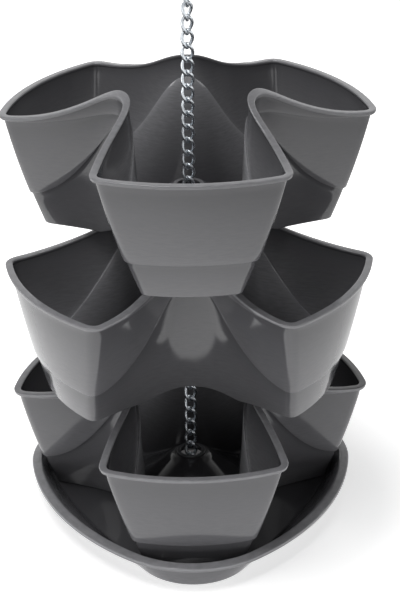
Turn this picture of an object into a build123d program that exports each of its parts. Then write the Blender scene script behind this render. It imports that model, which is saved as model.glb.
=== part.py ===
from build123d import *
from math import atan2, cos, degrees, radians, sin, sqrt
import os

# Stacking herb planter: three trefoil pots, turned by half a turn from tier to tier, stand
# one on another in a rounded triangular saucer, and a twisted-link chain runs up the middle.
# Millimetres, +Z up. The origin is on the ground under the middle, and -Y is the front.

# Clearances
rest_gap = 0.3           # under a pot that stands on the piece below it
running_gap = 0.3        # between loose pieces of the chain and their seats

# Pot: heights above its feet
lobe_height = 106.7      # rim at the end of a lobe
crest_rise = 30.2        # how much higher the rim is in a valley between two lobes
crown_start = 157.3      # radius at which the rim starts to rise towards the middle
tier_gap = 22.0          # from a lobe's rim up to the feet of the next pot
ledge_height = 31.0      # ledge in the wall at the end of a lobe
ledge_drop = 25.0        # ledge below the rim in a valley
ledge_start = 140.0      # radius at which the ledge starts to rise towards the middle

# Pot: plan of a lobe at its feet, on the outside of the wall
foot_end = 124.1         # reach of the lobe's end
foot_corner = 118.8      # reach of its corners
foot_half_width = 40.9   # half the distance between its corners
foot_side = 41.7         # pull of the side's curve at the corner
foot_slant = 8.0         # slant of the side at the corner, in degrees
foot_valley = 55.2       # radius of the valley beside the lobe
foot_bend = 36.9         # pull of the side's curve at the valley

# Pot: plan of a lobe at the height of its rim, on the inside of the wall
rim_end = 147.2
rim_corner = 131.6
rim_half_width = 73.4
rim_side = 68.5
rim_slant = 9.7
rim_valley = 58.7
rim_bend = 31.3
corner_trim = 7.3        # length that a rounded corner takes off each edge
wall_bow = 0.27          # how far the wall bows out on its way from the feet to the rim

# Pot: wall, flange and middle
wall = 2.0
floor = 2.2
step = 1.8               # how far the wall under the ledge stands in
flange_overhang = 3.4    # flange beyond the wall
flange_depth = 3.5
rim_bead = 0.8           # how far the rim stands in from the wall
apron_overhang = 1.4     # band under the flange, beyond the wall
apron_lobe = 4.2         # depth of flange and band at the end of a lobe
apron_valley = 20.0      # depth of flange and band in a valley
boss_radius = 17.0       # flat middle of the floor
collar_radius = 12.9     # raised ring round the chain hole
collar_rise = 2.5
chain_hole_radius = 9.5
drain_radius = 3.5
drain_reach = 98.0       # distance of a drain hole from the middle

# Saucer: plan of its wall on the inside, at the lip and at the ground
lip_vertex = 144.3       # from the middle to a rounded corner
lip_side = 124.0         # from the middle to the middle of a side
lip_round = 81.2         # radius of a rounded corner
base_vertex = 138.8
base_side = 98.6
base_round = 48.2

# Saucer: heights and thicknesses
saucer_depth = 22.2      # from the lip down to the pot's feet
saucer_wall = 2.2
saucer_floor = 2.5
lip_width = 8.0
lip_depth = 5.0
rib_thickness = 2.5      # upright ribs that centre the pot
rib_height = 14.0
rib_offset = 28.0        # from the middle of a lobe's end
rib_gap = 1.0            # between a rib and the pot's end

# Chain: each link is an oval ring twisted by a quarter turn
wire = 2.8
link_pitch = 11.6
link_half_width = 4.3    # at the middle of the wire
link_twist = -90.0
link_gap = 0.4           # between a link and the next one
chain_length = 460.0     # about how far the links reach
wound_links = 4          # links at the upper end that wind round
link_wind = 15.0         # turn of each of them against the one below, in degrees

# Stop that holds the chain's lower end
stop_radius = 16.0
stop_plate = 3.0
stop_depth = 8.0         # open space under the plate
stop_wall = 2.0
stop_hole_radius = 7.0
stop_pin_radius = 1.5
stop_pin_length = 24.0

# Hook at the chain's upper end
hook_wire = 3.0
eye_radius = 5.0         # at the middle of the wire
eye_sweep = 285.0        # degrees
bight_radius = 9.0
bight_sweep = 235.0

tiers = ["bottom_pot", "middle_pot", "top_pot"]
lobe_turn = 120.0
front = -90.0
margin = 5.0             # overlap of cutting shapes past what they cut

tier_pitch = lobe_height + tier_gap
crest_height = lobe_height + crest_rise
ledge_crest = crest_height - ledge_drop
feet_level = saucer_floor + rest_gap
lip_level = feet_level + saucer_depth
standing = (Align.CENTER, Align.CENTER, Align.MIN)


def blend(foot_value, rim_value, level):
    """Value at a level of the pot's bowed wall."""
    rise = level / lobe_height
    return foot_value + (rim_value - foot_value) * (rise + wall_bow * rise * (1 - rise))


def parabola(radius, low, high, start):
    """Height of a crown: low beyond the start radius, high at the crest radius."""
    inward = max(start - radius, 0.0) / (start - crest_radius)
    return low + (high - low) * inward ** 2


def crown_radius(level, low, high, start):
    """Radius at which a crown reaches a level."""
    return start - (start - crest_radius) * sqrt((level - low) / (high - low))


def under_crown(low, high, start, base=None):
    """Everything below a crown, which is flat in the middle and no lower than base."""
    base = low if base is None else max(base, low)
    edge = crown_radius(base, low, high, start)
    top = parabola(boss_radius, low, high, start)
    slope = -2 * (high - low) * (start - edge) / (start - crest_radius) ** 2
    handle = edge + (boss_radius - edge) / 2
    ground = -tier_pitch
    outside = crown_start + rim_end
    profile = [
        Line((0, ground), (outside, ground)),
        Line((outside, ground), (outside, base)),
        Line((outside, base), (edge, base)),
        Bezier((edge, base), (handle, base + slope * (handle - edge)), (boss_radius, top)),
        Line((boss_radius, top), (0, top)),
        Line((0, top), (0, ground)),
    ]
    return revolve(Plane.XZ * make_face(profile), Axis.Z)


def between(lower, upper):
    return upper - lower


def polar(radius, angle):
    return Vector(radius, 0).rotate(Axis.Z, angle)


def leg_normal(start, end):
    along = (end - start).normalized()
    return Vector(along.Y, -along.X)


def meet(point_a, normal_a, point_b, normal_b):
    """Where two lines cross, each given by a point and its normal."""
    a = point_a.dot(normal_a)
    b = point_b.dot(normal_b)
    det = normal_a.X * normal_b.Y - normal_a.Y * normal_b.X
    x = (a * normal_b.Y - b * normal_a.Y) / det
    y = (normal_a.X * b - normal_b.X * a) / det
    return Vector(x, y)


def lobe_controls(level, grow):
    """End point and side curve of half a lobe on +X, at a level, offset outwards by grow."""
    end = Vector(blend(foot_end, rim_end, level), 0)
    foot_points = side_points(foot_corner, foot_half_width, foot_side, foot_slant, foot_valley, foot_bend)
    rim_points = side_points(rim_corner, rim_half_width, rim_side, rim_slant, rim_valley, rim_bend)
    corner, pull, bend, valley = [blend(f, r, level) for f, r in zip(foot_points, rim_points)]
    # The end is an arc, whose tangent at the corner leans twice as far as its chord.
    chord_normal = leg_normal(end, corner)
    end_normal = polar(1, 2 * degrees(atan2(chord_normal.Y, chord_normal.X)))
    normals = [end_normal, leg_normal(corner, pull), leg_normal(pull, bend), leg_normal(bend, valley)]
    shifted = [p + n * grow for p, n in zip([corner, pull, bend, valley], normals[1:] + normals[3:])]
    new_corner = meet(corner + normals[0] * grow, normals[0], shifted[0], normals[1])
    new_pull = meet(shifted[0], normals[1], shifted[1], normals[2])
    new_bend = meet(shifted[1], normals[2], shifted[2], normals[3])
    return end + Vector(grow, 0), new_corner, new_pull, new_bend, shifted[3]


def side_points(corner, half_width, side, slant, valley, bend):
    """Control points of a side's curve, from the corner to the middle of the valley."""
    start = Vector(corner, half_width)
    finish = polar(valley, lobe_turn / 2)
    pull = start - polar(side, slant)
    return start, pull, finish + polar(bend, lobe_turn / 2 - 90), finish


def trefoil(level, grow):
    """Closed outline of the pot at a level, offset outwards by grow."""
    end, corner, pull, bend, valley = lobe_controls(level, grow)
    mirror = [Vector(p.X, -p.Y) for p in (corner, pull, bend, valley)]
    # The trimmed corner runs between a point on the end's arc and one on the side.
    side_start = corner + (pull - corner).normalized() * corner_trim
    arc = ThreePointArc(mirror[0], end, corner)
    share = corner_trim / arc.length
    arc_start = arc.position_at(share)
    arc_end = arc.position_at(1 - share)
    side_mirror = Vector(side_start.X, -side_start.Y)
    half = [
        Bezier(mirror[3], mirror[2], mirror[1], side_mirror),
        Bezier(side_mirror, mirror[0], arc_start),
        ThreePointArc(arc_start, end, arc_end),
        Bezier(arc_end, corner, side_start),
        Bezier(side_start, pull, bend, valley),
    ]
    edges = [e.rotate(Axis.Z, front + k * lobe_turn) for k in range(3) for e in half]
    return Pos(0, 0, level) * Wire(edges)


def pot_block(grow):
    """Solid inside the pot's outline, from below its feet to above its crests."""
    levels = [-margin, lobe_height / 3, 2 * lobe_height / 3, lobe_height, crest_height + margin]
    return Solid.make_loft([trefoil(level, grow) for level in levels])


def make_pot():
    rim = under_crown(lobe_height, crest_height, crown_start)
    flange_under = Pos(0, 0, -flange_depth) * rim
    flange_middle = Pos(0, 0, -flange_depth / 2) * rim
    apron_under = under_crown(lobe_height - apron_lobe, crest_height - apron_valley, crown_start)
    ledge = under_crown(ledge_height, ledge_crest, ledge_start)
    shelf = Pos(0, 0, wall) * ledge
    seat_low = lobe_height - tier_pitch + rest_gap
    seat_high = crest_height - tier_pitch + rest_gap
    seat = under_crown(seat_low, seat_high, crown_start, 0.0)
    floor_top = Pos(0, 0, floor) * seat

    pot = pot_block(wall + flange_overhang) & between(flange_under, rim)
    pot += pot_block(wall + apron_overhang) & between(apron_under, flange_middle)
    pot += pot_block(wall) & between(ledge, flange_middle)
    pot += pot_block(wall - step) & between(seat, shelf)
    pot -= pot_block(0.0) & between(shelf, flange_under)
    pot -= pot_block(-rim_bead) - shelf
    pot -= pot_block(-step) & between(floor_top, Pos(0, 0, wall) * shelf)

    boss_level = parabola(boss_radius, seat_low, seat_high, crown_start)
    collar_top = boss_level + floor + collar_rise
    collar_base = boss_level + floor / 2
    pot += Pos(0, 0, collar_base) * Cylinder(collar_radius, collar_top - collar_base, align=standing)
    pot -= Pos(0, 0, boss_level - margin) * Cylinder(chain_hole_radius, tier_pitch, align=standing)
    for k in range(3):
        place = polar(drain_reach, front + k * lobe_turn)
        pot -= Pos(place.X, place.Y, -margin) * Cylinder(drain_radius, 2 * margin, align=standing)
    return pot


def saucer_outline(level, grow):
    """Face inside the saucer's wall at a level, offset outwards by grow."""
    rise = level / lip_level
    vertex = base_vertex + (lip_vertex - base_vertex) * rise
    side = base_side + (lip_side - base_side) * rise
    corner_round = base_round + (lip_round - base_round) * rise
    # Each side is an arc about a point beyond the middle, tangent to the two rounded corners.
    to_round = vertex - corner_round
    sagitta = side - corner_round
    back = (to_round ** 2 - sagitta ** 2) / (2 * sagitta - to_round)
    side_radius = side + grow + back

    def tangent_point(corner_angle, side_angle):
        centre = polar(-back, side_angle)
        outward = (polar(to_round, corner_angle) - centre).normalized()
        return centre + outward * side_radius

    edges = []
    for k in range(3):
        corner_angle = front + k * lobe_turn
        side_angle = corner_angle + lobe_turn / 2
        corner_start = tangent_point(corner_angle, side_angle - lobe_turn)
        side_start = tangent_point(corner_angle, side_angle)
        side_end = tangent_point(corner_angle + lobe_turn, side_angle)
        edges.append(ThreePointArc(corner_start, polar(vertex + grow, corner_angle), side_start))
        edges.append(ThreePointArc(side_start, polar(side + grow, side_angle), side_end))
    return Pos(0, 0, level) * make_face(edges)


def saucer_block(low, high, grow):
    return loft([saucer_outline(level, grow) for level in (low, high)], ruled=True)


def rib_reach(height):
    """Distance from the middle at which a rib meets the sloping end of a lobe, less its gap."""
    level = height - feet_level
    end = blend(foot_end, rim_end, level)
    corner = blend(foot_corner, rim_corner, level)
    half_width = blend(foot_half_width, rim_half_width, level)
    return end - (end - corner) * (rib_offset / half_width) ** 2 + rib_gap


def make_saucer():
    block = saucer_block(0.0, lip_level, saucer_wall)
    lip = extrude(Pos(0, 0, -lip_depth) * saucer_outline(lip_level, lip_width), lip_depth)
    saucer = block + lip - saucer_block(saucer_floor, lip_level + margin, 0.0)
    rib_low = saucer_floor / 2
    rib_high = saucer_floor + rib_height
    rib_side = [
        (rib_reach(rib_low), rib_low),
        (lip_vertex, rib_low),
        (lip_vertex, rib_high),
        (rib_reach(rib_high), rib_high),
    ]
    rib = extrude(Plane.XZ * make_face(Polyline(*rib_side, close=True)), rib_thickness / 2, both=True)
    for k in range(3):
        for offset in (-rib_offset, rib_offset):
            saucer += (Pos(0, offset, 0) * rib).rotate(Axis.Z, front + k * lobe_turn) & block
    return saucer


def link_point(angle):
    """Point on the middle of a link's wire; angle 90 is its upper end and 0 its side."""
    height = link_reach * sin(radians(angle))
    twist = link_twist / 2 * sin(radians(angle))
    across = polar(link_half_width * cos(radians(angle)), twist)
    return across + Vector(0, 0, height)


def link_tangent(angle):
    nudge = 0.01
    return (link_point(angle - nudge) - link_point(angle + nudge)).normalized()


def biarc(start, start_tangent, end, end_tangent):
    """Two arcs that join two points with given tangents."""
    chord = end - start
    total = start_tangent + end_tangent
    spread = 2 * (1 - start_tangent.dot(end_tangent))
    lean = chord.dot(total)
    reach = (sqrt(lean ** 2 + spread * chord.dot(chord)) - lean) / spread
    middle = (start + end + (start_tangent - end_tangent) * reach) * 0.5
    middle_tangent = (middle - start - start_tangent * reach).normalized()
    first = Edge.make_tangent_arc(start, start_tangent, middle)
    second = Edge.make_tangent_arc(middle, middle_tangent, end)
    return [first, second]


def make_link():
    angles = [90, 45, 0, -45, -90]
    edges = []
    for a, b in zip(angles, angles[1:]):
        edges += biarc(link_point(a), link_tangent(a), link_point(b), link_tangent(b))
    section = Plane(link_point(90), z_dir=link_tangent(90)) * Circle(wire / 2)
    half = sweep(section, path=Wire(edges))
    return half + half.rotate(Axis.Z, 180)


def make_stop():
    """Cup that lies open side down, with the pin lying under its plate."""
    cup = Cylinder(stop_radius, stop_depth + stop_plate, align=standing)
    cup -= Cylinder(stop_radius - stop_wall, stop_depth, align=standing)
    cup -= Cylinder(stop_hole_radius, stop_depth + stop_plate + margin, align=standing)
    return Pos(0, 0, feet_level) * cup


def make_stop_pin():
    pin = Rot(0, 90, 0) * Cylinder(stop_pin_radius, stop_pin_length)
    return Pos(0, 0, pin_level) * pin.rotate(Axis.Z, link_twist / 2)


def make_hook():
    """Open hook bent from one wire: an eye round the top link, then a wider bight."""
    along_wire = link_twist / 2 + wound_links * link_wind
    plane = Plane((0, 0, top_wire_level), x_dir=polar(1, along_wire + 90), z_dir=polar(1, along_wire))
    eye_centre = eye_radius - wire / 2 - running_gap - hook_wire / 2
    bight_centre = eye_centre + eye_radius + bight_radius
    eye = CenterArc((0, eye_centre), eye_radius, 90 + eye_sweep, -eye_sweep)
    bight = CenterArc((0, bight_centre), bight_radius, -90, bight_sweep)
    path = plane * Wire([eye, bight])
    section = Plane(path @ 0, z_dir=path % 0) * Circle(hook_wire / 2)
    return sweep(section, path=path)


crest_radius = blend(foot_valley, rim_valley, crest_height)
link_reach = (link_pitch + wire + link_gap) / 2
link_count = round(chain_length / link_pitch)
pin_level = feet_level + stop_depth - running_gap - stop_pin_radius
first_link_level = pin_level - stop_pin_radius - running_gap - wire / 2 + link_reach
top_wire_level = first_link_level + (link_count - 1) * link_pitch + link_reach

pieces = {
    "saucer": make_saucer(),
    "chain_stop": make_stop(),
    "stop_pin": make_stop_pin(),
    "hook": make_hook(),
}
pot = make_pot()
for tier, name in enumerate(tiers):
    pieces[name] = Pos(0, 0, feet_level + tier * tier_pitch) * pot.rotate(Axis.Z, 180 * tier)
link = make_link()
for k in range(link_count):
    wind = link_wind * max(k + 1 - link_count + wound_links, 0)
    level = first_link_level + k * link_pitch
    pieces[f"chain_link_{k + 1:02d}"] = Pos(0, 0, level) * link.rotate(Axis.Z, wind)

os.makedirs("parts", exist_ok=True)
for name, piece in pieces.items():
    export_step(piece, f"parts/{name}.step")
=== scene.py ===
import bmesh
import bpy
from math import cos, pi, radians, sin, sqrt
from mathutils import Matrix, Vector


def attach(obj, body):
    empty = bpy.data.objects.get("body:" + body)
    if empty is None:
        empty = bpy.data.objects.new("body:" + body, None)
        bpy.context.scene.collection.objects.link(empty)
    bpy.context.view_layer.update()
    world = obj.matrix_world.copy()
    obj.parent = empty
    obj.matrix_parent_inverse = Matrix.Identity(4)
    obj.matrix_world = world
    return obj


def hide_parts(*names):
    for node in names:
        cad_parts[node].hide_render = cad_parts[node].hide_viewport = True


# Stacking herb planter: three trefoil pots in a rounded triangular saucer, on a twisted-link
# chain. Metres, +Z up. The origin is on the ground under the middle, and -Y is the front.

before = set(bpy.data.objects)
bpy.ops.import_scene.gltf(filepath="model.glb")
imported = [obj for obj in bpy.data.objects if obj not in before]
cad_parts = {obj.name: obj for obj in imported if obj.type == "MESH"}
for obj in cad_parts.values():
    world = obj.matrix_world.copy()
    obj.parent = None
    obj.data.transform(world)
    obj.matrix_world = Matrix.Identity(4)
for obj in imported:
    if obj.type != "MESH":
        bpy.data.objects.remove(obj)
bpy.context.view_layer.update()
mm = 0.001

# Pot: heights above its feet
rest_gap = 0.3 * mm
lobe_height = 106.7 * mm
crest_rise = 30.2 * mm
crown_start = 157.3 * mm
tier_gap = 22.0 * mm
ledge_height = 31.0 * mm
ledge_drop = 25.0 * mm
ledge_start = 140.0 * mm

# Pot: plan of half a lobe at its feet and at its rim
trefoil = {
    "Foot End": 124.1 * mm,
    "Foot Corner": 118.8 * mm,
    "Foot Half Width": 40.9 * mm,
    "Foot Side": 41.7 * mm,
    "Foot Slant": radians(8.0),
    "Foot Valley": 55.2 * mm,
    "Foot Bend": 36.9 * mm,
    "Rim End": 147.2 * mm,
    "Rim Corner": 131.6 * mm,
    "Rim Half Width": 73.4 * mm,
    "Rim Side": 68.5 * mm,
    "Rim Slant": radians(9.7),
    "Rim Valley": 58.7 * mm,
    "Rim Bend": 31.3 * mm,
    "Corner Trim": 7.3 * mm,
    "Lobe Height": lobe_height,
    "Wall Bow": 0.27,
}
end_steps = 9
corner_steps = 7
side_steps = 26
wall_rows = 9
crown_repeats = 3
drain_sides = 32

# Pot: wall, flange, middle and the small roundings of its edges
wall = 2.0 * mm
floor = 2.2 * mm
step = 1.8 * mm
flange_overhang = 3.4 * mm
flange_depth = 3.5 * mm
rim_bead = 0.8 * mm
apron_overhang = 1.4 * mm
apron_lobe = 4.2 * mm
apron_valley = 20.0 * mm
boss_radius = 17.0 * mm
collar_radius = 12.9 * mm
collar_rise = 2.5 * mm
chain_hole_radius = 9.5 * mm
drain_radius = 3.5 * mm
drain_reach = 98.0 * mm
drill_depth = 8 * floor
rim_edge = 1.0 * mm
soft_edge = 0.5 * mm
floor_fillet = 3.0 * mm
foot_edge = 1.6 * mm

# Saucer: plan of its wall on the inside, at the ground and at the lip
triangle = {
    "Base Vertex": 138.8 * mm,
    "Base Side": 98.6 * mm,
    "Base Round": 48.2 * mm,
    "Lip Vertex": 144.3 * mm,
    "Lip Side": 124.0 * mm,
    "Lip Round": 81.2 * mm,
}

# Saucer: heights, thicknesses and ribs
saucer_depth = 22.2 * mm
saucer_wall = 2.2 * mm
saucer_floor = 2.5 * mm
lip_width = 8.0 * mm
lip_depth = 5.0 * mm
lip_edge = 1.1 * mm
lip_slope = 1.3 * mm
saucer_fillet = 3.0 * mm
rib_thickness = 2.5 * mm
rib_height = 14.0 * mm
rib_offset = 28.0 * mm
rib_gap = 1.0 * mm
rib_edge = 0.5 * mm
saucer_steps = 192
saucer_rows = 6

# Chain and hook
wire = 2.8 * mm
link_pitch = 11.6 * mm
link_half_width = 4.3 * mm
link_reach = 7.4 * mm
link_twist = radians(-90)
link_count = 40
first_link_level = 13.2 * mm
wound_links = 4
link_wind = radians(15)
link_sway = radians(4)
hook_wire = 3.0 * mm
eye_radius = 5.0 * mm
bight_radius = 9.0 * mm
eye_sweep = 285
bight_sweep = 235
link_steps = 40
link_sides = 12
hook_sides = 20
eye_steps = 72
bight_steps = 96
tip_share = 0.002

# Studio: the camera, then how bright the room and the floor are
camera_place = (-0.02375, -1.46444, 0.92632)
camera_ahead = (0.0199118, 0.8956093, -0.4443957)
camera_up = (0.0166373, 0.4441255, 0.8958101)
focal_pixels = 1909.29
image_height = 593
sensor_height = 36
room_level = 0.3
wall_top = 0.35
ceiling_start = 0.7
ceiling_level = 0.12
# The floor's glow that lights the object is painted light: it glows in a pool a little left of the front and
# fades outward.
painted_table_light = 0.9
# Near the base the glow that light and reflections see is dimmed: painted contact shade.
glow_in_painted_contact_shade = 0.7
painted_light_pool_middle = (-0.12, -0.15, 0.0)
painted_light_pool_start = 0.25
painted_light_pool_end = 0.9
# Near the object the glow the camera sees is dimmed, rising to white further out: painted shade round the
# object.
floor_glow_in_painted_shade = 0.62
painted_shadow_start = 0.17
painted_shadow_end = 0.3
floor_reach = 6.0

# Values that several pieces share
crease_angle = radians(50)
merge_distance = 0.002 * mm
tiers = ["bottom_pot", "middle_pot", "top_pot"]
lobe_turn = radians(120)
front = radians(-90)
tier_pitch = lobe_height + tier_gap
crest_height = lobe_height + crest_rise
ledge_crest = crest_height - ledge_drop
feet_level = saucer_floor + rest_gap
lip_level = feet_level + saucer_depth


def blend(start, end, share):
    return start + (end - start) * share


def bowed(rise, bow):
    """How far from feet to rim the wall's plan has come, at a share of the lobe's height."""
    return rise + bow * rise * (1 - rise)


crest_share = bowed(crest_height / lobe_height, trefoil["Wall Bow"])
crest_radius = blend(trefoil["Foot Valley"], trefoil["Rim Valley"], crest_share)


class Signal:
    """A value or vector in a node tree. Arithmetic on it adds Math or Vector Math nodes."""

    def __init__(self, sheet, socket):
        self.sheet = sheet
        self.socket = socket
        self.is_vector = socket.type == "VECTOR"

    def __add__(self, other):
        return self.sheet.maths("ADD", self, other)

    def __radd__(self, other):
        return self.sheet.maths("ADD", other, self)

    def __sub__(self, other):
        return self.sheet.maths("SUBTRACT", self, other)

    def __rsub__(self, other):
        return self.sheet.maths("SUBTRACT", other, self)

    def __mul__(self, other):
        return self.sheet.maths("MULTIPLY", self, other)

    def __rmul__(self, other):
        return self.sheet.maths("MULTIPLY", other, self)

    def __truediv__(self, other):
        return self.sheet.maths("DIVIDE", self, other)

    def __pow__(self, other):
        return self.sheet.maths("POWER", self, other)

    def __mod__(self, other):
        return self.sheet.maths("MODULO", self, other)

    def __gt__(self, other):
        return self.sheet.maths("GREATER_THAN", self, other)


class Sheet:
    """A node tree that is being drawn up."""

    def __init__(self, tree):
        self.tree = tree

    def node(self, kind, settings, inputs, output=0):
        """Adds a node: its settings first, then the values or links of its sockets."""
        node = self.tree.nodes.new(kind)
        for name, value in settings.items():
            if name == "stops":
                self.set_stops(node.color_ramp, value)
            else:
                setattr(node, name, value)
        for name, value in inputs.items():
            socket = self.find(node.inputs, name)
            if isinstance(value, Signal):
                self.tree.links.new(value.socket, socket)
            else:
                socket.default_value = value
        if len(node.outputs) == 0:
            return None
        return Signal(self, self.find(node.outputs, output))

    def find(self, sockets, name):
        if isinstance(name, int):
            return sockets[name]
        return next(s for s in sockets if s.enabled and s.name == name)

    def set_stops(self, ramp, stops):
        while len(ramp.elements) < len(stops):
            ramp.elements.new(0.5)
        for element, (position, colour) in zip(ramp.elements, stops):
            element.position = position
            element.color = colour

    def maths(self, operation, *operands):
        vectors = [v for v in operands if isinstance(v, tuple) or isinstance(v, Signal) and v.is_vector]
        if not vectors:
            return self.node("ShaderNodeMath", {"operation": operation}, dict(enumerate(operands)))
        if len(vectors) == 1 and len(operands) == 2:
            scale = next(v for v in operands if v is not vectors[0])
            scale = 1 / scale if operation == "DIVIDE" else scale
            return self.node("ShaderNodeVectorMath", {"operation": "SCALE"}, {0: vectors[0], "Scale": scale})
        output = "Value" if operation in ("LENGTH", "DOT_PRODUCT") else "Vector"
        return self.node("ShaderNodeVectorMath", {"operation": operation}, dict(enumerate(operands)), output)

    def point(self, x, y, z=0.0):
        return self.node("ShaderNodeCombineXYZ", {}, {"X": x, "Y": y, "Z": z})

    def part(self, vector, axis):
        return self.node("ShaderNodeSeparateXYZ", {}, {0: vector}, axis)

    def clamp(self, value):
        return self.node("ShaderNodeClamp", {}, {"Value": value})

    def turned(self, vector, angle):
        about_z = {"rotation_type": "Z_AXIS"}
        return self.node("ShaderNodeVectorRotate", about_z, {"Vector": vector, "Angle": angle})


# Geometry trees

per_point = {"data_type": "FLOAT", "domain": "POINT"}


def geometry_sheet(name, sizes):
    """A geometry tree with named inputs. Gives its sheet, the input geometry and the sizes."""
    tree = bpy.data.node_groups.new(name, "GeometryNodeTree")
    tree.interface.new_socket("Geometry", in_out="OUTPUT", socket_type="NodeSocketGeometry")
    tree.interface.new_socket("Geometry", in_out="INPUT", socket_type="NodeSocketGeometry")
    for size, value in sizes.items():
        kind = "NodeSocketInt" if isinstance(value, int) else "NodeSocketFloat"
        tree.interface.new_socket(size, in_out="INPUT", socket_type=kind)
    tree.interface.new_socket("Material", in_out="INPUT", socket_type="NodeSocketMaterial")
    sheet = Sheet(tree)
    group = tree.nodes.new("NodeGroupInput")
    inputs = {socket.name: Signal(sheet, socket) for socket in group.outputs if socket.name}
    return sheet, inputs


def close_sheet(sheet, inputs, geometry):
    """Ends a geometry tree: instances made real, then smooth shading and the material."""
    real = sheet.node("GeometryNodeRealizeInstances", {}, {"Geometry": geometry})
    smooth = sheet.node("GeometryNodeSetShadeSmooth", {}, {"Geometry": real})
    painted = sheet.node("GeometryNodeSetMaterial", {}, {"Geometry": smooth, "Material": inputs["Material"]})
    sheet.node("NodeGroupOutput", {}, {"Geometry": painted})
    return sheet.tree


def mesh_object(name, mesh):
    piece = bpy.data.objects.new(name, mesh)
    bpy.context.scene.collection.objects.link(piece)
    return piece


def grown(name, base_mesh, tree, sizes, material):
    """An object whose mesh is what the tree makes of the base mesh."""
    piece = mesh_object(name, base_mesh)
    modifier = piece.modifiers.new("shape", "NODES")
    modifier.node_group = tree
    keys = {s.name: s.identifier for s in tree.interface.items_tree if s.in_out == "INPUT"}
    for size, value in sizes.items():
        modifier[keys[size]] = value
    modifier[keys["Material"]] = material
    shaped = piece.evaluated_get(bpy.context.evaluated_depsgraph_get())
    mesh = bpy.data.meshes.new_from_object(shaped)
    piece.modifiers.remove(modifier)
    piece.data = mesh
    mesh.set_sharp_from_angle(angle=crease_angle)
    return piece


def section_mesh(name, columns, rows):
    """Loose points that carry one row of a wall section each, as attributes."""
    mesh = bpy.data.meshes.new(name)
    mesh.from_pydata([(0, 0, 0)] * len(rows), [], [])
    for column, values in zip(columns, zip(*rows)):
        mesh.attributes.new(column, "FLOAT", "POINT").data.foreach_set("value", values)
    return mesh


def swept_grid(sheet, inputs, columns, names):
    """A section carried round an outline: its grid, each point's column and its row's values."""
    rows = sheet.node("GeometryNodeAttributeDomainSize", {}, {"Geometry": inputs["Geometry"]})
    sizes = {"Size X": 1.0, "Size Y": 1.0, "Vertices X": columns + 1, "Vertices Y": rows + 1}
    grid = sheet.node("GeometryNodeFlipFaces", {}, {"Mesh": sheet.node("GeometryNodeMeshGrid", {}, sizes)})
    index = sheet.node("GeometryNodeInputIndex", {}, {})
    row = index % (rows + 1)
    column = (index - row) / (rows + 1)
    values = {}
    for name in names:
        field = sheet.node("GeometryNodeInputNamedAttribute", {"data_type": "FLOAT"}, {"Name": name})
        sample = {"Geometry": inputs["Geometry"], "Value": field, "Index": row % rows}
        values[name] = sheet.node("GeometryNodeSampleIndex", per_point, sample)
    return grid, column, values


def with_wear_and_painted_light(sheet, mesh, wear):
    """Keeps, for the material, how rubbed each point is and how much painted light it carries as a paler
    colour.
    """
    kept = {"Geometry": mesh, "Name": "wear", "Value": wear}
    return sheet.node("GeometryNodeStoreNamedAttribute", per_point, kept)


# Pot: a wall section carried round a trefoil

section_columns = ["low", "high", "start", "rise", "grow", "inward", "ring", "wear"]


def row(crown, rise, grow, inward=0.0, ring=boss_radius, wear=0.0):
    """One line round the pot: rise above a crown, grow outside the outline, moved inward to a ring."""
    return (*crown, rise, grow, inward, ring, wear)


def run(first, last, count):
    """Rows between two others."""
    shares = [k / (count + 1) for k in range(1, count + 1)]
    return [tuple(a + (b - a) * s for a, b in zip(first, last)) for s in shares]


def rounding(crown, rise, grow, radius, first, last, wear=0.0, steps=3, ring=None):
    """Rows round an edge from its centre, between two angles in degrees."""
    rows = []
    for k in range(steps + 1):
        angle = radians(first + (last - first) * k / steps)
        across = radius * cos(angle)
        up = radius * sin(angle)
        if ring is None:
            rows.append(row(crown, rise + up, grow + across, wear=wear))
        else:
            rows.append(row(crown, rise + up, grow, 1.0, ring + across, wear))
    return rows


def joined(*stretches):
    """Stretches of rows, with rows between one stretch and the next where a count stands between them."""
    rows = []
    for i, stretch in enumerate(stretches):
        if isinstance(stretch, int):
            rows += run(rows[-1], stretches[i + 1][0], stretch)
        else:
            rows += stretch
    return rows


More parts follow.
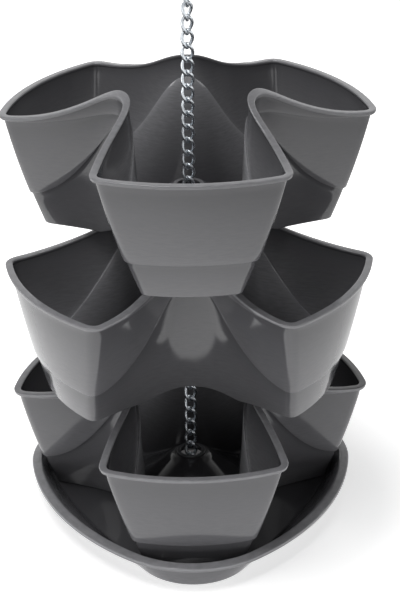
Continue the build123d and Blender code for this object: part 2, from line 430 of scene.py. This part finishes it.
def pot_section():
    """Rows of the pot's wall, from the floor up inside, over the rim, down outside and back underneath."""
    rim = (lobe_height, crest_height, crown_start)
    apron = (lobe_height - apron_lobe, crest_height - apron_valley, crown_start)
    ledge = (ledge_height, ledge_crest, ledge_start)
    seat_shift = rest_gap - tier_pitch
    seat = (lobe_height + seat_shift, crest_height + seat_shift, crown_start)
    flange = wall + flange_overhang
    band = wall + apron_overhang
    low_wall = wall - step
    e, s, f, b = rim_edge, soft_edge, floor_fillet, foot_edge
    collar_top = floor + collar_rise
    return joined(
        rounding(seat, floor + f, -step - f, f, -90, 0, steps=5),
        wall_rows,
        # The inner shelf's two roundings carry the paler colour as a painted highlight along the shelf's edge
        # line.
        rounding(ledge, wall - s, -step + s, s, 180, 90, wear=1.7),
        1,
        rounding(ledge, wall + s, -s, s, -90, 0, wear=1.0),
        wall_rows,
        rounding(rim, -flange_depth, -s, s, 0, 60),
        # The rim's roundings carry the paler colour, partly as rubbing and partly as a painted highlight
        # along the rim's edges.
        rounding(rim, -e, e - rim_bead, e, 180, 90, wear=1.0, steps=5),
        2,
        rounding(rim, -e, flange - e, e, 90, 0, wear=1.0, steps=5),
        1,
        rounding(rim, e - flange_depth, flange - e, e, 0, -90, wear=0.7, steps=5),
        1,
        rounding(rim, -flange_depth - s, band + s, s, 90, 180),
        3,
        rounding(apron, s, band - s, s, 0, -90, wear=0.4),
        rounding(apron, -s, wall + s, s, 90, 180),
        wall_rows,
        rounding(ledge, e, wall - e, e, 0, -90, wear=0.4, steps=4),
        rounding(ledge, -s / 2, low_wall + s / 2, s / 2, 90, 180),
        wall_rows,
        rounding(seat, b, low_wall - b, b, 0, -90, wear=0.6, steps=4),
        wall_rows,
        [row(seat, 0.0, low_wall - b, 1.0)],
        1,
        rounding(seat, s, 0.0, s, -90, -180, ring=chain_hole_radius + s),
        2,
        rounding(seat, collar_top - s, 0.0, s, 180, 90, wear=0.5, ring=chain_hole_radius + s),
        1,
        rounding(seat, collar_top - s, 0.0, s, 90, 0, wear=0.5, ring=collar_radius - s),
        1,
        rounding(seat, floor + s, 0.0, s, 180, 270, ring=collar_radius + s),
        [row(seat, floor, -step - f, 1.0)],
        wall_rows,
        [row(seat, floor, -step - f, 0.08)],
    )


def side_points(sheet, size, place):
    """Control points of a lobe's side at its feet or rim, from the corner to the valley."""
    corner = sheet.point(size[place + " Corner"], size[place + " Half Width"])
    slant = size[place + " Slant"]
    along = sheet.point(sheet.maths("COSINE", slant), sheet.maths("SINE", slant))
    out = (cos(lobe_turn / 2), sin(lobe_turn / 2), 0.0)
    across = (out[1], -out[0], 0.0)
    valley = out * size[place + " Valley"]
    return [corner, corner - along * size[place + " Side"], valley + across * size[place + " Bend"], valley]


def bezier(points, share):
    """Point and direction of a Bezier curve."""
    while len(points) > 2:
        points = [blend(a, b, share) for a, b in zip(points, points[1:])]
    return blend(points[0], points[1], share), points[1] - points[0]


def trefoil_point(sheet, size, station, level, grow):
    """Point on half a lobe along +X: its end up to station 1, its corner up to 2, its side up to 3."""
    on_end, on_corner, on_side = [sheet.clamp(station - k) for k in range(3)]
    rise = bowed(level / size["Lobe Height"], size["Wall Bow"])
    end = blend(size["Foot End"], size["Rim End"], rise)
    controls = zip(side_points(sheet, size, "Foot"), side_points(sheet, size, "Rim"))
    corner, pull, bend, valley = [blend(foot, rim, rise) for foot, rim in controls]
    half_width = sheet.part(corner, "Y")
    bow = end - sheet.part(corner, "X")
    radius = (bow ** 2 + half_width ** 2) / (2 * bow)
    angle = on_end * (sheet.maths("ARCSINE", half_width / radius) - size["Corner Trim"] / radius)
    outward = sheet.point(sheet.maths("COSINE", angle), sheet.maths("SINE", angle))
    end_point = sheet.point(end - radius, 0.0) + outward * radius
    side_start = corner + sheet.maths("NORMALIZE", pull - corner) * size["Corner Trim"]
    corner_point, corner_way = bezier([end_point, corner, side_start], on_corner)
    point, side_way = bezier([corner_point, pull, bend, valley], on_side)
    up = (0.0, 0.0, 1.0)
    corner_normal = sheet.maths("NORMALIZE", sheet.maths("CROSS_PRODUCT", corner_way, up))
    side_normal = sheet.maths("NORMALIZE", sheet.maths("CROSS_PRODUCT", side_way, up))
    normal = blend(blend(outward, corner_normal, on_corner > 0.0), side_normal, on_side > 0.0)
    return point + normal * grow


def pot_tree(sizes):
    """Carries the wall section round the trefoil; a crown's height follows the radius."""
    sheet, inputs = geometry_sheet("pot", sizes)
    half = end_steps + corner_steps + side_steps
    mesh, column, line = swept_grid(sheet, inputs, 6 * half, section_columns)
    # Columns run from the end of a lobe to a valley, then mirrored to the end of the next lobe.
    turn = column % (2 * half)
    mirrored = turn > half
    lobe = (column - turn) / (2 * half) + mirrored
    steps = blend(turn, 2 * half - turn, mirrored)
    on_end = sheet.clamp(steps / end_steps)
    on_corner = sheet.clamp((steps - end_steps) / corner_steps)
    station = on_end + on_corner + sheet.clamp((steps - end_steps - corner_steps) / side_steps)
    level = line["low"]
    for repeat in range(crown_repeats):
        point = trefoil_point(sheet, inputs, station, level, line["grow"])
        ring = sheet.maths("NORMALIZE", point) * line["ring"]
        point = blend(point, ring, line["inward"])
        radius = sheet.maths("MAXIMUM", sheet.maths("LENGTH", point), inputs["Boss Radius"])
        from_start = sheet.maths("MAXIMUM", line["start"] - radius, 0.0)
        inward = from_start / (line["start"] - inputs["Crest Radius"])
        crown = blend(line["low"], line["high"], inward ** 2)
        level = sheet.maths("MAXIMUM", crown, 0.0) + line["rise"]
    side = 1 - 2 * mirrored
    point = sheet.point(sheet.part(point, "X"), sheet.part(point, "Y") * side, level + inputs["Feet Level"])
    point = sheet.turned(point, inputs["Turn"] + lobe * lobe_turn)
    mesh = with_wear_and_painted_light(sheet, mesh, line["wear"])
    mesh = sheet.node("GeometryNodeSetPosition", {}, {"Geometry": mesh, "Position": point})
    mesh = sheet.node("GeometryNodeMergeByDistance", {}, {"Geometry": mesh, "Distance": merge_distance})
    # Drain holes, one through the floor of each lobe
    lobes = sheet.node("GeometryNodeMeshLine", {}, {"Count": 3})
    which = sheet.node("GeometryNodeInputIndex", {}, {})
    middle = sheet.point(inputs["Drain Reach"], 0.0, inputs["Feet Level"])
    middle = sheet.turned(middle, inputs["Turn"] + which * lobe_turn)
    lobes = sheet.node("GeometryNodeSetPosition", {}, {"Geometry": lobes, "Position": middle})
    bore = {"Vertices": drain_sides, "Radius": inputs["Drain Radius"], "Depth": drill_depth}
    drill = sheet.node("GeometryNodeMeshCylinder", {}, bore)
    drills = sheet.node("GeometryNodeInstanceOnPoints", {}, {"Points": lobes, "Instance": drill})
    drills = sheet.node("GeometryNodeRealizeInstances", {}, {"Geometry": drills})
    cut = {"operation": "DIFFERENCE", "solver": "MANIFOLD"}
    mesh = sheet.node("GeometryNodeMeshBoolean", cut, {"Mesh 1": mesh, "Mesh 2": drills})
    return close_sheet(sheet, inputs, mesh)


def make_pots(material):
    sizes = dict(trefoil)
    sizes["Boss Radius"] = boss_radius
    sizes["Crest Radius"] = crest_radius
    sizes["Drain Reach"] = drain_reach
    sizes["Drain Radius"] = drain_radius
    sizes["Feet Level"] = 0.0
    sizes["Turn"] = 0.0
    tree = pot_tree(sizes)
    for tier, name in enumerate(tiers):
        sizes["Feet Level"] = feet_level + tier * tier_pitch
        sizes["Turn"] = front + tier * pi
        section = section_mesh(name + "_section", section_columns, pot_section())
        pot = grown(name + "_shell", section, tree, sizes, material)
        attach(pot, name)
        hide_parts(name)


# Saucer: a wall section carried round a rounded triangle, and six ribs

saucer_columns = ["grow", "level", "rise", "inward", "wear"]


def wall_row(grow, level, inward=0.0, wear=0.0):
    return (grow, level, level / lip_level, inward, wear)


def saucer_rounding(grow, level, radius, first, last, wear=0.0, on_lip=False, steps=4):
    rows = []
    for k in range(steps + 1):
        angle = radians(first + (last - first) * k / steps)
        line = wall_row(grow + radius * cos(angle), level + radius * sin(angle), wear=wear)
        rows.append((*line[:2], 1.0, *line[3:]) if on_lip else line)
    return rows


def saucer_section():
    """Rows from the middle of the floor, up the wall, over the lip, down and back underneath."""
    e, f, b, s = lip_edge, saucer_fillet, foot_edge, soft_edge
    under = lip_level - lip_depth
    return joined(
        [wall_row(-f, saucer_floor, 1.0)],
        saucer_rows,
        saucer_rounding(-f, saucer_floor + f, f, -90, 0),
        saucer_rows,
        # The lip's top carries 1.3 of the paler colour: painted light, paler where lamps would light it from
        # above.
        saucer_rounding(e, lip_level - e, e, 180, 80, 1.3),
        2,
        saucer_rounding(lip_width - e, lip_level - lip_slope - e, e, 80, 0, 1.3, on_lip=True),
        saucer_rounding(lip_width - e, under + e, e, 0, -90, 0.6, on_lip=True),
        1,
        saucer_rounding(saucer_wall + s, under - s, s, 90, 180),
        saucer_rows,
        saucer_rounding(saucer_wall - b, b, b, 0, -90, 0.6),
        saucer_rows,
        [wall_row(saucer_wall - b, 0.0, 1.0)],
    )


def saucer_tree(sizes, columns):
    """Two arcs run from a corner to the middle of a side, and the normal's turn runs along both."""
    sheet, inputs = geometry_sheet("saucer", sizes)
    rows = sheet.node("GeometryNodeAttributeDomainSize", {}, {"Geometry": inputs["Geometry"]})
    mesh, column, line = swept_grid(sheet, inputs, columns, saucer_columns)
    vertex, side, corner_round = [
        blend(inputs["Base " + place], inputs["Lip " + place], line["rise"])
        for place in ("Vertex", "Side", "Round")
    ]
    to_round = vertex - corner_round
    sagitta = side - corner_round
    back = (to_round ** 2 - sagitta ** 2) / (2 * sagitta - to_round)
    angle = column * (2 * pi / columns) + lobe_turn / 2
    third = angle % lobe_turn
    from_corner = third - lobe_turn / 2
    folded = sheet.maths("ABSOLUTE", from_corner)
    out = (cos(lobe_turn / 2), sin(lobe_turn / 2), 0.0)
    corner_centre = sheet.point(to_round, 0.0)
    side_centre = out * (0 - back)
    towards = corner_centre - side_centre
    meeting = sheet.maths("ARCTAN2", sheet.part(towards, "Y"), sheet.part(towards, "X"))
    on_side = folded > meeting
    normal = sheet.point(sheet.maths("COSINE", folded), sheet.maths("SINE", folded))
    centre = blend(corner_centre, side_centre, on_side)
    radius = blend(corner_round, side + back, on_side) + line["grow"]
    point = (centre + normal * radius) * (1 - line["inward"])
    way = sheet.maths("SIGN", from_corner)
    point = sheet.point(sheet.part(point, "X"), sheet.part(point, "Y") * way, line["level"])
    point = sheet.turned(point, angle - from_corner + front - lobe_turn / 2)
    mesh = with_wear_and_painted_light(sheet, mesh, line["wear"])
    mesh = sheet.node("GeometryNodeSetPosition", {}, {"Geometry": mesh, "Position": point})
    # The section is open in the middle of the saucer, so the faces that close it are left out.
    index = sheet.node("GeometryNodeInputIndex", {}, {})
    closing = (index % rows) > (rows - 1.5)
    gap = {"Geometry": mesh, "Selection": closing}
    mesh = sheet.node("GeometryNodeDeleteGeometry", {"domain": "FACE"}, gap)
    mesh = sheet.node("GeometryNodeMergeByDistance", {}, {"Geometry": mesh, "Distance": merge_distance})
    return close_sheet(sheet, inputs, mesh)


def rib_inside(height):
    """Distance from the middle at which a rib meets the sloping end of a lobe, less its gap."""
    rise = bowed((height - feet_level) / lobe_height, trefoil["Wall Bow"])
    end, corner, half_width = [
        blend(trefoil["Foot " + place], trefoil["Rim " + place], rise)
        for place in ("End", "Corner", "Half Width")
    ]
    return end - (end - corner) * (rib_offset / half_width) ** 2 + rib_gap


def rib_outside(height):
    """Distance from the middle at which a rib goes into the saucer's wall."""
    vertex, corner_round = [
        blend(triangle["Base " + place], triangle["Lip " + place], height / lip_level)
        for place in ("Vertex", "Round")
    ]
    return vertex - corner_round + sqrt(corner_round ** 2 - rib_offset ** 2) + saucer_wall / 3


def rib_mesh():
    """One upright rib along +X, which leans with the pot on one side and with the wall on the other."""
    shape = bmesh.new()
    foot = saucer_floor - rib_edge
    top = saucer_floor + rib_height
    outline = [
        (rib_inside(foot), foot),
        (rib_outside(foot), foot),
        (rib_outside(top), top),
        (rib_inside(top), top),
    ]
    verts = [shape.verts.new((x, -rib_thickness / 2, z)) for x, z in outline]
    face = shape.faces.new(verts)
    grown_face = bmesh.ops.extrude_face_region(shape, geom=[face])
    moved = [v for v in grown_face["geom"] if isinstance(v, bmesh.types.BMVert)]
    bmesh.ops.translate(shape, verts=moved, vec=(0, rib_thickness, 0))
    bmesh.ops.bevel(shape, geom=shape.edges[:], offset=rib_edge, segments=3, affect="EDGES", profile=0.5)
    bmesh.ops.recalc_face_normals(shape, faces=shape.faces[:])
    mesh = bpy.data.meshes.new("rib")
    shape.to_mesh(mesh)
    shape.free()
    return mesh


def rib_tree(sizes):
    """Two ribs to each corner of the saucer, one on each side of its middle line."""
    sheet, inputs = geometry_sheet("saucer_ribs", sizes)
    points = sheet.node("GeometryNodeMeshLine", {}, {"Count": 6})
    index = sheet.node("GeometryNodeInputIndex", {}, {})
    side = index % 2
    turn = (index - side) / 2 * lobe_turn + front
    place = sheet.turned(sheet.point(0.0, (1 - 2 * side) * inputs["Offset"]), turn)
    points = sheet.node("GeometryNodeSetPosition", {}, {"Geometry": points, "Position": place})
    copies = {"Points": points, "Instance": inputs["Geometry"], "Rotation": sheet.point(0.0, 0.0, turn)}
    return close_sheet(sheet, inputs, sheet.node("GeometryNodeInstanceOnPoints", {}, copies))


def make_saucer(material):
    section = section_mesh("saucer_section", saucer_columns, saucer_section())
    saucer = grown("saucer_tray", section, saucer_tree(triangle, saucer_steps), triangle, material)
    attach(saucer, "saucer")
    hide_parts("saucer")
    sizes = {"Offset": rib_offset}
    ribs = grown("saucer_ribs", rib_mesh(), rib_tree(sizes), sizes, material)
    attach(ribs, "saucer")


# Chain and hook

def chain_tree(sizes):
    """An oval ring of wire, twisted by a quarter turn, repeated up the chain."""
    sheet, inputs = geometry_sheet("chain", sizes)
    ring = sheet.node("GeometryNodeCurvePrimitiveCircle", {}, {"Resolution": link_steps})
    angle = sheet.node("GeometryNodeInputIndex", {}, {}) * (2 * pi / link_steps)
    up = sheet.maths("SINE", angle)
    across = sheet.maths("COSINE", angle) * inputs["Half Width"]
    point = sheet.turned(sheet.point(across, 0.0, up * inputs["Reach"]), up * inputs["Twist"] / 2)
    ring = sheet.node("GeometryNodeSetPosition", {}, {"Geometry": ring, "Position": point})
    circle = {"Resolution": link_sides, "Radius": inputs["Wire"] / 2}
    profile = sheet.node("GeometryNodeCurvePrimitiveCircle", {}, circle)
    link = sheet.node("GeometryNodeCurveToMesh", {}, {"Curve": ring, "Profile Curve": profile})
    start = sheet.point(0.0, 0.0, inputs["First Level"])
    offset = sheet.point(0.0, 0.0, inputs["Pitch"])
    line = {"Count": inputs["Links"], "Start Location": start, "Offset": offset}
    points = sheet.node("GeometryNodeMeshLine", {}, line)
    # Each link hangs a little askew, and the upper ones wind round.
    index = sheet.node("GeometryNodeInputIndex", {}, {})
    sway = {"Min": 0 - inputs["Sway"], "Max": inputs["Sway"], "ID": index, "Seed": 4}
    askew = sheet.node("FunctionNodeRandomValue", {}, sway, 1)
    wound = sheet.maths("MAXIMUM", index + (1 + inputs["Wound Links"]) - inputs["Links"], 0.0)
    turn = sheet.point(0.0, 0.0, askew + wound * inputs["Wind"])
    copies = {"Points": points, "Instance": link, "Rotation": turn}
    return close_sheet(sheet, inputs, sheet.node("GeometryNodeInstanceOnPoints", {}, copies))


def make_chain(material):
    sizes = {
        "Links": link_count,
        "Pitch": link_pitch,
        "First Level": first_link_level,
        "Half Width": link_half_width,
        "Reach": link_reach,
        "Twist": link_twist,
        "Wire": wire,
        "Sway": link_sway,
        "Wound Links": wound_links,
        "Wind": link_wind,
    }
    chain = grown("chain_links", bpy.data.meshes.new("chain_start"), chain_tree(sizes), sizes, material)
    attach(chain, "chain")
    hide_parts(*[f"chain_link_{k + 1:02d}" for k in range(link_count)])


def bent_wire_tree(sizes):
    """Round wire along the base mesh's line, with rounded ends."""
    sheet, inputs = geometry_sheet("bent_wire", sizes)
    path = sheet.node("GeometryNodeMeshToCurve", {}, {"Mesh": inputs["Geometry"]})
    reach = sheet.node("GeometryNodeSplineParameter", {}, {}, "Length")
    length = sheet.node("GeometryNodeSplineLength", {}, {}, "Length")
    radius = inputs["Wire"] / 2
    from_end = sheet.maths("MINIMUM", reach, length - reach) / radius
    short = 1 - sheet.clamp(from_end)
    scale = sheet.maths("SQRT", sheet.maths("MAXIMUM", 1 - short ** 2, tip_share))
    profile = sheet.node("GeometryNodeCurvePrimitiveCircle", {}, {"Resolution": hook_sides, "Radius": radius})
    tube = {"Curve": path, "Profile Curve": profile, "Scale": scale, "Fill Caps": True}
    return close_sheet(sheet, inputs, sheet.node("GeometryNodeCurveToMesh", {}, tube))


def arc_points(centre, radius, first, sweep, count):
    """Points of an arc in the hook's own plane, as (across, up)."""
    angles = [radians(first + sweep * k / count) for k in range(count + 1)]
    return [(radius * cos(a), centre + radius * sin(a)) for a in angles]


def make_hook(material):
    """An eye round the top link, then a wider open bight, bent from one wire."""
    top_wire = first_link_level + (link_count - 1) * link_pitch + link_reach
    eye_centre = top_wire + eye_radius - wire / 2 - rest_gap - hook_wire / 2
    bight_centre = eye_centre + eye_radius + bight_radius
    eye = arc_points(eye_centre, eye_radius, 90 + eye_sweep, -eye_sweep, eye_steps)
    bight = arc_points(bight_centre, bight_radius, -90, bight_sweep, bight_steps)
    facing = link_twist / 2 + wound_links * link_wind + pi / 2
    line = [(a * cos(facing), a * sin(facing), up) for a, up in eye + bight[1:]]
    path = bpy.data.meshes.new("hook_line")
    path.from_pydata(line, [(k, k + 1) for k in range(len(line) - 1)], [])
    sizes = {"Wire": hook_wire}
    hook = grown("hanging_hook", path, bent_wire_tree(sizes), sizes, material)
    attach(hook, "hook")
    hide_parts("hook")


# Materials

black = (0, 0, 0, 1)
white = (1, 1, 1, 1)
plastic_deep = (0.086, 0.085, 0.092, 1)
plastic_pale = (0.101, 0.100, 0.107, 1)
plastic_rubbed_and_lit = (0.33, 0.33, 0.345, 1)
zinc_dark = (0.62, 0.66, 0.70, 1)
zinc_bright = (0.86, 0.90, 0.94, 1)
zinc_dull = (0.44, 0.46, 0.48, 1)
stop_deep = (0.024, 0.024, 0.026, 1)
stop_pale = (0.036, 0.036, 0.038, 1)
floor_deep = (0.80, 0.80, 0.80, 1)
floor_pale = (0.84, 0.84, 0.84, 1)


def new_finish(name):
    material = bpy.data.materials.new(name)
    material.use_nodes = True
    material.node_tree.nodes.clear()
    sheet = Sheet(material.node_tree)
    return material, sheet, sheet.node("ShaderNodeTexCoord", {}, {}, "Object")


def noise(sheet, place, scale, detail=2.0):
    return sheet.node("ShaderNodeTexNoise", {}, {"Vector": place, "Scale": scale, "Detail": detail}, "Fac")


def stretched(sheet, place, scale):
    return sheet.node("ShaderNodeMapping", {}, {"Vector": place, "Scale": scale})


def colour_between(sheet, share, first, second):
    mix = {"Factor": share, "A": first, "B": second}
    return sheet.node("ShaderNodeMix", {"data_type": "RGBA"}, mix, "Result")


def grey(sheet, share):
    return colour_between(sheet, share, black, white)


def surface(sheet, inputs):
    shader = sheet.node("ShaderNodeBsdfPrincipled", {}, inputs)
    sheet.node("ShaderNodeOutputMaterial", {}, {"Surface": shader})


def planter_plastic():
    """Smooth dark-grey moulded plastic: fine grain, faint clouds, and a paler colour on edges that is partly
    rubbing and partly painted highlight, with painted light on the saucer's lip.
    """
    material, sheet, place = new_finish("planter_plastic")
    wear = sheet.node("ShaderNodeAttribute", {"attribute_name": "wear"}, {}, "Fac")
    clouds = noise(sheet, place, scale=14.0, detail=4.0)
    grain = noise(sheet, place, scale=1500.0)
    rubs = noise(sheet, stretched(sheet, place, (40, 40, 260)), scale=3.0, detail=3.0)
    colour = colour_between(sheet, clouds, plastic_deep, plastic_pale)
    # The paler colour is real rubbing on edges, and also painted highlights on rims and inner shelves and
    # painted light on the saucer's lip.
    colour = colour_between(sheet, sheet.clamp(wear * (0.35 + 0.5 * rubs)), colour, plastic_rubbed_and_lit)
    roughness = 0.05 + 0.03 * clouds + 0.03 * rubs
    bump = sheet.node("ShaderNodeBump", {}, {"Strength": 0.08, "Distance": 0.2 * mm, "Height": grain})
    surface(sheet, {"Base Color": colour, "Roughness": roughness, "Normal": bump, "IOR": 1.6})
    return material


def zinc_steel():
    """Bright zinc plating on steel wire: bluish, a little patchy, with duller handled spots."""
    material, sheet, place = new_finish("zinc_steel")
    patches = noise(sheet, place, scale=190.0, detail=3.0)
    spots = noise(sheet, place, scale=900.0)
    drawn = noise(sheet, stretched(sheet, place, (900, 900, 120)), scale=1.0)
    colour = colour_between(sheet, patches, zinc_dark, zinc_bright)
    dull = sheet.clamp((spots - 0.58) * 6)
    colour = colour_between(sheet, dull, colour, zinc_dull)
    roughness = 0.2 + 0.14 * patches + 0.2 * dull
    bump = sheet.node("ShaderNodeBump", {}, {"Strength": 0.12, "Distance": 0.1 * mm, "Height": drawn})
    surface(sheet, {"Base Color": colour, "Metallic": 1.0, "Roughness": roughness, "Normal": bump})
    return material


def stop_plastic():
    """Black moulded plastic of the chain stop, matt with a coarse grain."""
    material, sheet, place = new_finish("stop_plastic")
    clouds = noise(sheet, place, scale=60.0, detail=3.0)
    grain = noise(sheet, place, scale=1100.0)
    colour = colour_between(sheet, clouds, stop_deep, stop_pale)
    bump = sheet.node("ShaderNodeBump", {}, {"Strength": 0.15, "Distance": 0.2 * mm, "Height": grain})
    surface(sheet, {"Base Color": colour, "Roughness": 0.42 + 0.12 * clouds, "Normal": bump, "IOR": 1.5})
    return material


def dress_node(name, material):
    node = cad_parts[name]
    for slot in node.material_slots:
        slot.material = material


# Studio

def make_floor():
    """Pale plain floor that glows a little. Its glow is painted light: a pool of it lights the object from
    below, and near the object it is dimmed as painted shade. The camera sees the floor white, apart from the
    object's shadow and this painted shade.
    """
    mesh = bpy.data.meshes.new("studio_floor")
    r = floor_reach
    mesh.from_pydata([(-r, -r, 0), (r, -r, 0), (r, r, 0), (-r, r, 0)], [], [(0, 1, 2, 3)])
    ground = mesh_object("studio_floor", mesh)
    material, sheet, place = new_finish("pale_floor")
    paper = colour_between(sheet, noise(sheet, place, scale=3.0), floor_deep, floor_pale)
    shader = sheet.node("ShaderNodeBsdfDiffuse", {}, {"Color": paper})
    seen = sheet.node("ShaderNodeLightPath", {}, {}, "Is Camera Ray")
    reach = sheet.maths("LENGTH", place - painted_light_pool_middle)
    outside = sheet.clamp((reach - painted_light_pool_start) / (painted_light_pool_end - painted_light_pool_start))
    # Close to the object the glow is dimmed as painted shade, for the camera and for light and reflections.
    away = sheet.clamp((sheet.maths("LENGTH", place) - painted_shadow_start) / (painted_shadow_end - painted_shadow_start))
    mirrored = painted_table_light * (1 - outside) * blend(glow_in_painted_contact_shade, 1.0, away)
    share = blend(mirrored, blend(floor_glow_in_painted_shade, 1.0, away), seen)
    glow = sheet.node("ShaderNodeEmission", {}, {"Color": grey(sheet, share), "Strength": 1.0})
    both = sheet.node("ShaderNodeAddShader", {}, {0: shader, 1: glow})
    sheet.node("ShaderNodeOutputMaterial", {}, {"Surface": both})
    mesh.materials.append(material)


def make_world():
    """White round the object for the camera; for light and reflections it darkens towards the ceiling."""
    world = bpy.data.worlds.new("studio")
    world.use_nodes = True
    world.node_tree.nodes.clear()
    sheet = Sheet(world.node_tree)
    camera, glossy, through = [
        sheet.node("ShaderNodeLightPath", {}, {}, ray)
        for ray in ("Is Camera Ray", "Is Glossy Ray", "Is Transmission Ray")
    ]
    up = sheet.part(sheet.node("ShaderNodeTexCoord", {}, {}, "Generated"), "Z")
    ceiling = sheet.clamp((up - wall_top) / (ceiling_start - wall_top))
    plain = blend(room_level, 1.0, sheet.clamp(glossy + through))
    share = blend(plain * blend(1.0, ceiling_level, ceiling), 1.0, camera)
    sky = sheet.node("ShaderNodeBackground", {}, {"Color": grey(sheet, share), "Strength": 1.0})
    sheet.node("ShaderNodeOutputWorld", {}, {"Surface": sky})
    bpy.context.scene.world = world


def make_softbox(name, place, aim, size, power):
    light = bpy.data.lights.new(name, "AREA")
    light.shape = "RECTANGLE"
    light.size = size[0]
    light.size_y = size[1]
    light.energy = power
    lamp = bpy.data.objects.new(name, light)
    bpy.context.scene.collection.objects.link(lamp)
    lamp.location = place
    lamp.rotation_euler = (Vector(aim) - Vector(place)).to_track_quat("-Z", "Y").to_euler()


def make_camera():
    """Camera of the photograph, whose image is 400 pixels wide and 593 high."""
    camera = bpy.data.cameras.new("camera")
    camera.sensor_fit = "VERTICAL"
    camera.sensor_height = sensor_height
    camera.lens = sensor_height * focal_pixels / image_height
    eye = bpy.data.objects.new("camera", camera)
    bpy.context.scene.collection.objects.link(eye)
    ahead = Vector(camera_ahead).normalized()
    right = ahead.cross(Vector(camera_up)).normalized()
    turn = Matrix((right, right.cross(ahead), -ahead)).transposed()
    eye.matrix_world = Matrix.Translation(camera_place) @ turn.to_4x4()
    bpy.context.scene.camera = eye


make_camera()
make_world()
make_floor()
make_softbox("top_softbox", (-0.45, -0.3, 2.4), (0, 0, 0.2), (1.5, 1.5), 34)
make_softbox("left_softbox", (-1.6, -0.9, 0.8), (0, 0, 0.1), (0.9, 0.9), 5)
make_softbox("right_softbox", (1.6, -0.9, 0.8), (0, 0, 0.1), (0.9, 0.9), 2)

plastic = planter_plastic()
zinc = zinc_steel()
make_saucer(plastic)
make_pots(plastic)
make_chain(zinc)
make_hook(zinc)
dress_node("chain_stop", stop_plastic())
dress_node("stop_pin", zinc)

bpy.context.scene.view_settings.view_transform = "Standard"
